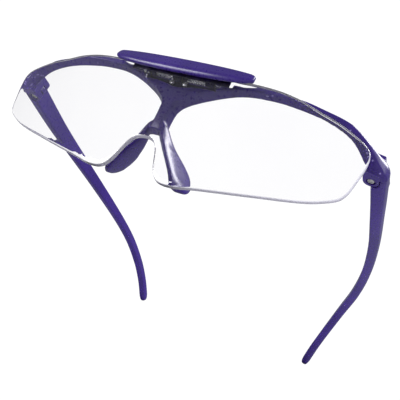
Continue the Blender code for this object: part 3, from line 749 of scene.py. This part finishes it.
def make_carrier():
    rings = []
    for x in np.linspace(-18.0, 18.0, 37):
        back = 2.55 if abs(x) < 13.6 else 3.05
        f_lo = lens_y(x, 8.6) + LENS_T + 0.32
        f_hi = lens_y(x, 12.7) + LENS_T + 0.32
        rings.append([(x, f_lo, 8.6), (x, f_hi, 12.7), (x, back + 0.15, 12.7), (x, back + 0.15, 8.6)])
    body = loft(rings)
    for lo, hi in LENS_EARS:
        out = []
        for k in range(29):
            a = math.radians(-150) + math.radians(235) * k / 28
            out.append((PIN_Y + KNUCKLE_R * math.cos(a), PIN_Z + KNUCKLE_R * math.sin(a)))
        out += [(2.6, 12.4), (2.6, 10.0)]
        body = union(body, prism(out, 0, lo, hi))
    body = cut(body, eye_x())
    holes = merge(*[rod(1, (sx * SCREW_X, SCREW_Z), 1.0, -3, 6, 24) for sx in (-1, 1)])
    return moulded(cut(body, holes), 0.12, 3)


def make_bar():
    us = [-math.cos(math.pi * k / 90) for k in range(91)]
    rings = []
    for u in us:
        u = max(-0.9995, min(0.9995, u))
        w = math.sqrt(max(0.0, 1 - abs(u) ** 2.0))
        e = 0.0 if abs(u) < 0.94 else (abs(u) - 0.94) / 0.06
        top_z = 14.0 + 0.75 * w - 0.5 * e ** 2
        yf = 0.35 - 2.25 * w
        z2 = 12.0 - 2.2 * w
        z3 = 11.4 - 3.1 * w + 0.3 * e
        yr = 1.55 + 1.3 * w ** 0.6
        sec = rounded([(0.9 - 0.9 * w, top_z), (yf, z2), (yf + 0.25 + 0.35 * w, z3),
                       (yr, z3 + 0.1), (yr, top_z + 0.3)],
                      [0.5, 0.8, 0.3, 0.3, 0.4], 5)
        rings.append([(u * BAR_HALF, p[0], p[1]) for p in sec])
    body = loft(rings)
    inner = []
    for x in np.linspace(-LENS_TAB_HALF - 0.8, LENS_TAB_HALF + 0.8, 15):
        inner.append([(x, lens_y(x, 7.2) - 0.3, 7.2), (x, lens_y(x, 12.75) - 0.3, 12.75),
                      (x, lens_y(x, 12.75) + LENS_T + 0.3, 12.75),
                      (x, lens_y(x, 7.2) + LENS_T + 0.3, 7.2)])
    body = cut(body, loft(inner))
    edge = []
    for x in np.linspace(-28, 28, 35):
        z1 = LENS_TOP(abs(x)) + 0.3
        edge.append([(x, lens_y(x, 7.2) - 0.3, 7.2), (x, lens_y(x, z1) - 0.3, z1),
                     (x, lens_y(x, z1) + LENS_T + 0.3, z1),
                     (x, lens_y(x, 7.2) + LENS_T + 0.3, 7.2)])
    body = cut(body, loft(edge))
    body = cut(body, box((-19.0, 1.0, 7.0), (19.0, 8.0, 13.0)))
    holes = merge(*[rod(1, (sx * SCREW_X, SCREW_Z), 1.0, -0.35, 6, 24) for sx in (-1, 1)])
    body = cut(body, holes)
    body = cut(body, box((-30, -6, BAR_LAND), (30, 8, 20)))
    return moulded(body, 0.15, 8)


def turned(profile, axis, c, n=40):
    """Closed round piece from (position, radius) pairs along an axis."""
    rings = []
    for t, r in profile:
        ring = []
        for p in circle(c, r, n):
            q = [p[0], p[1]]
            q.insert(axis, t)
            ring.append(tuple(q))
        rings.append(ring)
    return loft(rings)


def make_pin():
    r = PIN_R
    return turned([(-PIN_HALF, r * 0.72), (-PIN_HALF + 0.1, r * 0.92), (-PIN_HALF + 0.2, r),
                   (PIN_HALF - 0.2, r), (PIN_HALF - 0.1, r * 0.92), (PIN_HALF, r * 0.72)],
                  0, (PIN_Y, PIN_Z))


def make_cap():
    c = turned([(12.9, 1.22), (12.96, 1.3), (13.62, 1.3), (13.82, 1.22), (13.92, 1.0), (13.95, 0.7)],
               0, (PIN_Y, PIN_Z))
    return cut(c, ring_x(12.0, 13.65, PIN_R + 0.3, 32))


def make_spring():
    turns = 6
    per = 40
    lo, hi = SPRING_SPAN
    lo, hi = lo + 0.45, hi - 0.45
    pts = []
    n = turns * per
    a0 = math.radians(-60)
    for i in range(n + 1):
        a = a0 + 2 * math.pi * i / per
        pts.append(Vector((lo + (hi - lo) * i / n,
                           PIN_Y + SPRING_R * math.cos(a), PIN_Z + SPRING_R * math.sin(a))))
    tan = Vector((0, -math.sin(a0), math.cos(a0)))
    first = pts[0] - tan * 1.9
    end = pts[-1] + Vector((0.35, -math.sin(a0) * 0.9, math.cos(a0) * 0.9)) * 1.0
    path = [first] + [first.lerp(pts[0], k / 5) for k in range(1, 5)] + pts
    path += [pts[-1].lerp(end, k / 3) for k in range(1, 4)]
    rings = []
    m = 14
    for i, p in enumerate(path):
        a = path[max(i - 1, 0)]
        b = path[min(i + 1, len(path) - 1)]
        t = (b - a).normalized()
        side = Vector((1, 0, 0)) - t * t.x
        side.normalize()
        upv = t.cross(side)
        rings.append([tuple(p + (side * math.cos(2 * math.pi * k / m)
                                 + upv * math.sin(2 * math.pi * k / m)) * SPRING_WIRE)
                      for k in range(m)])
    return loft(rings)


def pan_screw(axis, c, head_lo, head_hi, end, r_head, r_shaft, flip, n=48):
    """Domed cross-recess screw with a chamfered tip and a rolled thread."""
    h = head_hi - head_lo
    dome = [(0.0, r_head * 0.96), (0.08 * h, r_head), (0.45 * h, r_head)]
    dome += [(0.45 * h + 0.55 * h * math.sin(a), r_head * (0.30 + 0.70 * math.cos(a)))
             for a in np.linspace(0.12, 1.5, 9)]
    base, sgn = (head_hi, -1) if flip else (head_lo, 1)
    way = -1 if end < base else 1
    seq = [(end, r_shaft * 0.7), (end - way * 0.12, r_shaft * 0.9)]
    length = abs(end - base)
    pitch = 0.35
    k = int(length * 0.75 / pitch)
    t = end - way * 0.25
    for i in range(k):
        seq += [(t, r_shaft), (t - way * pitch * 0.5, r_shaft * 0.84)]
        t -= way * pitch
    seq += [(t, r_shaft), (base, r_shaft)]
    seq += [(base + sgn * d, r) for d, r in dome]
    body = turned(seq, axis, c, n)
    top = base + sgn * h
    a, b = sorted((top - sgn * 0.45 * h, top + sgn * 1.0))
    w, l = r_head * 0.13, r_head * 0.60
    for dx, dy in ((l, w), (w, l)):
        lo, hi = [c[0] - dx, c[1] - dy], [c[0] + dx, c[1] + dy]
        lo.insert(axis, a)
        hi.insert(axis, b)
        body = cut(body, box(lo, hi))
    return body


# ---------------------------------------------------------------- temples
T_X = curve([(20, 70.5), (32, 70.1), (45, 69.6), (60, 69.0), (75, 67.8), (90, 65.7),
             (105, 62.3), (118, 57.7), (130, 52.6), (140, 47.5), (150, 42.6)])
T_Z = curve([(20, 3.15), (32, 2.1), (45, 1.1), (60, 0.5), (75, -0.4), (90, -2.0),
             (105, -4.7), (118, -9.0), (130, -16.2), (136, -21.9), (140, -26.8), (150, -41)])
T_H = curve([(20, 7.7), (32, 7.3), (45, 6.6), (60, 5.8), (75, 5.2), (90, 4.7),
             (105, 4.2), (118, 3.9), (150, 3.6)])
T_T = curve([(20, 5.0), (26, 4.8), (34, 4.4), (45, 4.0), (60, 3.7), (100, 3.6), (150, 3.4)])


def temple_frame(y):
    p = Vector((T_X(y), y, T_Z(y)))
    e = 1.2
    t = Vector((T_X(y + e) - T_X(y - e), 2 * e, T_Z(y + e) - T_Z(y - e))).normalized()
    out = Vector((1, 0, 0))
    out = (out - t * out.dot(t)).normalized()
    upv = out.cross(t)
    if upv.z < 0:
        upv = -upv
    return p, t, out, upv


def blade(th, h, drop=0.0):
    pts = [(-th / 2, -h / 2), (th / 2 * 0.8, -h / 2), (th / 2, 0.0), (th / 2 * 0.8, h / 2 - drop),
           (-th / 2, h / 2)]
    return rounded(pts, [0.8, 2.2, 2.2, 2.2, 0.8], 7)


def root_drop(y):
    """How far the outer top edge is brought down near the hinge."""
    return 2.2 * min(1.0, max(0.0, 1 - (y - 20.6) / 18.0))


def make_temple():
    ys = [20.6] + list(np.linspace(21.2, 141, 110))
    rings = []
    for y in ys:
        p, t, out, upv = temple_frame(y)
        h, th = T_H(y), T_T(y)
        c = p - out * th / 2
        rings.append([tuple(c + out * a + upv * b) for a, b in blade(th, h, root_drop(y))])
    for k in range(1, 13):
        a = 0.5 * math.pi * k / 12.5
        d, s = 3.9 * math.sin(a) ** 1.0, math.cos(a) ** 0.55
        rings.append([tuple(c + t * d + out * q * s + upv * b * s) for q, b in blade(th, h)])
    body = loft(rings)
    body = cut(body, box((55, 10, -10), (80, TEMPLE_START, 20)))
    body = cut(body, rod(2, (HINGE_X, HINGE_Y), BARREL_R + 0.3, -5, 15, 48))
    web = [(HINGE_X + BARREL_R * math.cos(a), HINGE_Y + BARREL_R * math.sin(a))
           for a in [math.radians(95 + 170 * k / 28) for k in range(29)]]
    web += [(HINGE_X + 2.6, HINGE_Y - 0.9), (HINGE_X + 4.4, HINGE_Y - 0.7),
            (HINGE_X + 4.6, HINGE_Y + 6.0), (HINGE_X + 2.4, HINGE_Y + 6.5)]
    body = union(body, prism(web, 2, SLOT_LOW + 0.3, SLOT_HIGH - 0.3))
    body = cut(body, rod(2, (HINGE_X, HINGE_Y), HSCREW_R + 0.3, -3, 12, 24))
    return moulded(body, 0.22, 4)


def make_nut():
    nut = prism(circle((HINGE_X, HINGE_Y), 1.6, 6), 2, BARREL_HIGH - 0.95, BARREL_HIGH + 0.1)
    cone = turned([(BARREL_HIGH - 1.0, 1.5), (BARREL_HIGH - 0.8, 1.66), (BARREL_HIGH - 0.15, 1.66),
                   (BARREL_HIGH + 0.15, 1.42)], 2, (HINGE_X, HINGE_Y))
    nut = boolean(nut, cone, "INTERSECT")
    return cut(nut, rod(2, (HINGE_X, HINGE_Y), HSCREW_R + 0.3, 0, 14, 28))


def make_washer():
    w = turned([(SLOT_HIGH - 0.25, 1.46), (SLOT_HIGH - 0.21, 1.5), (SLOT_HIGH - 0.09, 1.5),
                (SLOT_HIGH - 0.05, 1.46)], 2, (HINGE_X, HINGE_Y))
    return cut(w, rod(2, (HINGE_X, HINGE_Y), HSCREW_R + 0.3, -3, 12, 28))


# ---------------------------------------------------------------- build
piece("front_moulding", make_frame(), VIOLET, "front", ["frame_front"], "violet_plastic")
piece("grip_bar", make_bar(), VIOLET_BAR, "lens_unit", ["flip_bar"], "violet_plastic")
temple = make_temple()
temple_l = mirrored(temple)
piece("temple_arm_right", temple, VIOLET_BAR, "temple_right", ["temple_right"], "violet_plastic")
piece("temple_arm_left", temple_l, VIOLET_BAR, "temple_left", ["temple_left"], "violet_plastic")
piece("hinge_base", make_bracket(), DARK, "front", ["hinge_bracket"], "black_plastic")
piece("hinge_leaf", make_carrier(), DARK, "lens_unit", ["lens_carrier"], "black_plastic")
piece("flip_pin", make_pin(), STEEL, "front", ["hinge_pin"], "steel", 40)
for side, sgn in (("right", 1), ("left", -1)):
    jobs = [
        ("flip_pin_cap", make_cap(), STEEL, "front", "pin_cap", "steel"),
        ("flip_spring", make_spring(), STEEL, "front", "spring", "steel"),
        ("leaf_screw", pan_screw(1, (SCREW_X, SCREW_Z), 3.4, 4.0, -0.15, 1.2, 0.68, False), STEEL,
         "lens_unit", "carrier_screw", "steel"),
        ("base_screw", pan_screw(1, (BSCREW_X, BSCREW_Z), 4.05, 4.7, 8.6, 0.85, 0.38, True), STEEL,
         "front", "bracket_screw", "steel"),
        ("fold_screw", pan_screw(2, (HINGE_X, HINGE_Y), BARREL_LOW + 0.05, BARREL_LOW + 0.75,
                                 BARREL_HIGH - 0.1, 1.15, HSCREW_R, True), STEEL,
         "front", "hinge_screw", "steel"),
        ("fold_nut", make_nut(), STEEL, "front", "hinge_nut", "steel"),
        ("fold_washer", make_washer(), NYLON, "front", "hinge_washer", "nylon"),
    ]
    for name, bm, mat, body, node, slot in jobs:
        if sgn < 0:
            m = mirrored(bm)
            bm.free()
            bm = m
        piece(name + "_" + side, bm, mat, body, [node + "_" + side], slot, 40)
piece("shield", make_lens(), CLEAR, "lens_unit", ["lens_shield"], "clear_plastic", 40)


# ---------------------------------------------------------------- stage
def stage_floor():
    me = bpy.data.meshes.new("floor")
    bm = bmesh.new()
    s = 12.0
    n = 24
    vs = [[bm.verts.new((-s + 2 * s * i / n, -s + 2 * s * j / n, -0.0002)) for i in range(n + 1)]
          for j in range(n + 1)]
    for j in range(n):
        for i in range(n):
            bm.faces.new((vs[j][i], vs[j][i + 1], vs[j + 1][i + 1], vs[j + 1][i]))
    bm.to_mesh(me)
    bm.free()
    ob = bpy.data.objects.new("floor", me)
    coll.objects.link(ob)
    m = bpy.data.materials.new("floor")
    m.use_nodes = True
    t = m.node_tree
    t.nodes.clear()
    out = t.nodes.new("ShaderNodeOutputMaterial")
    dif = t.nodes.new("ShaderNodeBsdfDiffuse")
    grain = t.nodes.new("ShaderNodeTexNoise")
    grain.inputs["Scale"].default_value = 900.0
    coord = t.nodes.new("ShaderNodeTexCoord")
    t.links.new(coord.outputs["Object"], grain.inputs["Vector"])
    tone = t.nodes.new("ShaderNodeMapRange")
    tone.inputs["To Min"].default_value = 0.79
    tone.inputs["To Max"].default_value = 0.81
    t.links.new(grain.outputs["Fac"], tone.inputs["Value"])
    # painted shade in reflections: the floor drops to 0.35 of its tone where it is seen in a glossy
    # reflection, so the plastic reflects a darker floor than the lit one
    path = t.nodes.new("ShaderNodeLightPath")
    away = t.nodes.new("ShaderNodeMath")
    away.operation = "MINIMUM"
    away.inputs[1].default_value = 1.0
    t.links.new(path.outputs["Glossy Depth"], away.inputs[0])
    reflection_shade = t.nodes.new("ShaderNodeMapRange")
    reflection_shade.inputs["To Min"].default_value = 1.0
    reflection_shade.inputs["To Max"].default_value = 0.35
    t.links.new(away.outputs[0], reflection_shade.inputs["Value"])
    both = t.nodes.new("ShaderNodeMath")
    both.operation = "MULTIPLY"
    t.links.new(tone.outputs["Result"], both.inputs[0])
    t.links.new(reflection_shade.outputs["Result"], both.inputs[1])
    t.links.new(both.outputs[0], dif.inputs["Color"])
    tr = t.nodes.new("ShaderNodeBsdfTransparent")
    geo = t.nodes.new("ShaderNodeNewGeometry")
    mx = t.nodes.new("ShaderNodeMixShader")
    t.links.new(geo.outputs["Backfacing"], mx.inputs["Fac"])
    t.links.new(dif.outputs[0], mx.inputs[1])
    t.links.new(tr.outputs[0], mx.inputs[2])
    t.links.new(mx.outputs[0], out.inputs["Surface"])
    me.materials.append(m)
    return ob


stage_floor()


def area(name, at, size, power, look=(0, 0, 0.02), colour=(1, 1, 1)):
    l = bpy.data.lights.new(name, "AREA")
    l.shape = "RECTANGLE"
    l.size, l.size_y = size
    l.energy = power
    l.color = colour
    o = bpy.data.objects.new(name, l)
    coll.objects.link(o)
    o.location = at
    d = Vector(look) - Vector(at)
    o.rotation_euler = d.to_track_quat("-Z", "Y").to_euler()
    return o


area("top_box", (0.45, 0.10, 0.75), (0.45, 0.45), 8.5)
front = area("front_box", (-0.55, -0.75, 0.55), (0.7, 0.5), 2.4)
front.visible_glossy = False
front.visible_transmission = False
area("side_box", (0.75, -0.25, 0.47), (0.45, 0.45), 1.3)
area("low_strip", (-0.13, -0.27, 0.03), (0.14, 0.04), 0.22, (0, -0.06, 0.03))

world = bpy.data.worlds.new("studio")
scene.world = world
world.use_nodes = True
wt = world.node_tree
wt.nodes.clear()
wo = wt.nodes.new("ShaderNodeOutputWorld")
seen = wt.nodes.new("ShaderNodeBackground")
seen.inputs["Color"].default_value = (1, 1, 1, 1)
seen.inputs["Strength"].default_value = 1.07
fill = wt.nodes.new("ShaderNodeBackground")
fill.inputs["Color"].default_value = (1, 1, 1, 1)
fill.inputs["Strength"].default_value = 0.60
glow = wt.nodes.new("ShaderNodeBackground")
glow.inputs["Color"].default_value = (0.92, 0.93, 1.0, 1)
glow.inputs["Strength"].default_value = 0.30
lp = wt.nodes.new("ShaderNodeLightPath")
count = wt.nodes.new("ShaderNodeMath")
count.operation = "ADD"
wt.links.new(lp.outputs["Glossy Depth"], count.inputs[0])
wt.links.new(lp.outputs["Diffuse Depth"], count.inputs[1])
pick = wt.nodes.new("ShaderNodeMath")
pick.operation = "SUBTRACT"
pick.use_clamp = True
pick.inputs[0].default_value = 1.0
wt.links.new(count.outputs[0], pick.inputs[1])
shiny = wt.nodes.new("ShaderNodeMath")
shiny.operation = "MINIMUM"
shiny.inputs[1].default_value = 1.0
wt.links.new(lp.outputs["Glossy Depth"], shiny.inputs[0])
wm = wt.nodes.new("ShaderNodeMixShader")
wt.links.new(pick.outputs[0], wm.inputs["Fac"])
wt.links.new(fill.outputs[0], wm.inputs[1])
wt.links.new(seen.outputs[0], wm.inputs[2])
wg = wt.nodes.new("ShaderNodeMixShader")
wt.links.new(shiny.outputs[0], wg.inputs["Fac"])
wt.links.new(fill.outputs[0], wg.inputs[1])
wt.links.new(glow.outputs[0], wg.inputs[2])
wt.links.new(wg.outputs[0], wm.inputs[1])
wt.links.new(wm.outputs[0], wo.inputs["Surface"])
scene.view_settings.view_transform = "Standard"

# ---------------------------------------------------------------- camera
# azimuth 26.1 degrees to the right of the front, looking up by 22.6 degrees,
# rolled by 27.2 degrees; the position is in worn millimetres
AZ, EL, ROLL = math.radians(26.12), math.radians(-22.58), math.radians(27.24)
eye = Vector((95.1, -137.1, -95.7))
fwd = Vector((-math.sin(AZ) * math.cos(EL), math.cos(AZ) * math.cos(EL), -math.sin(EL)))
right = fwd.cross(Vector((0, 0, 1))).normalized()
upc = right.cross(fwd).normalized()
rr = right * math.cos(ROLL) + upc * math.sin(ROLL)
uu = upc * math.cos(ROLL) - right * math.sin(ROLL)
CAMERA_BASIS = (rr, uu, fwd)
cam = bpy.data.cameras.new("camera")
cam.lens = 54.0
cam.sensor_width = 36.0
cam.clip_start = 0.005
cam_ob = bpy.data.objects.new("camera", cam)
coll.objects.link(cam_ob)
m = Matrix((
    (rr.x, uu.x, -fwd.x, 0), (rr.y, uu.y, -fwd.y, 0), (rr.z, uu.z, -fwd.z, 0), (0, 0, 0, 1)))
place = ROT.to_4x4() @ m
place.translation = TO_WORLD @ eye
cam_ob.matrix_world = place
cam.shift_x = 0.8 / 400.0
cam.shift_y = -0.2 / 400.0
scene.camera = cam_ob
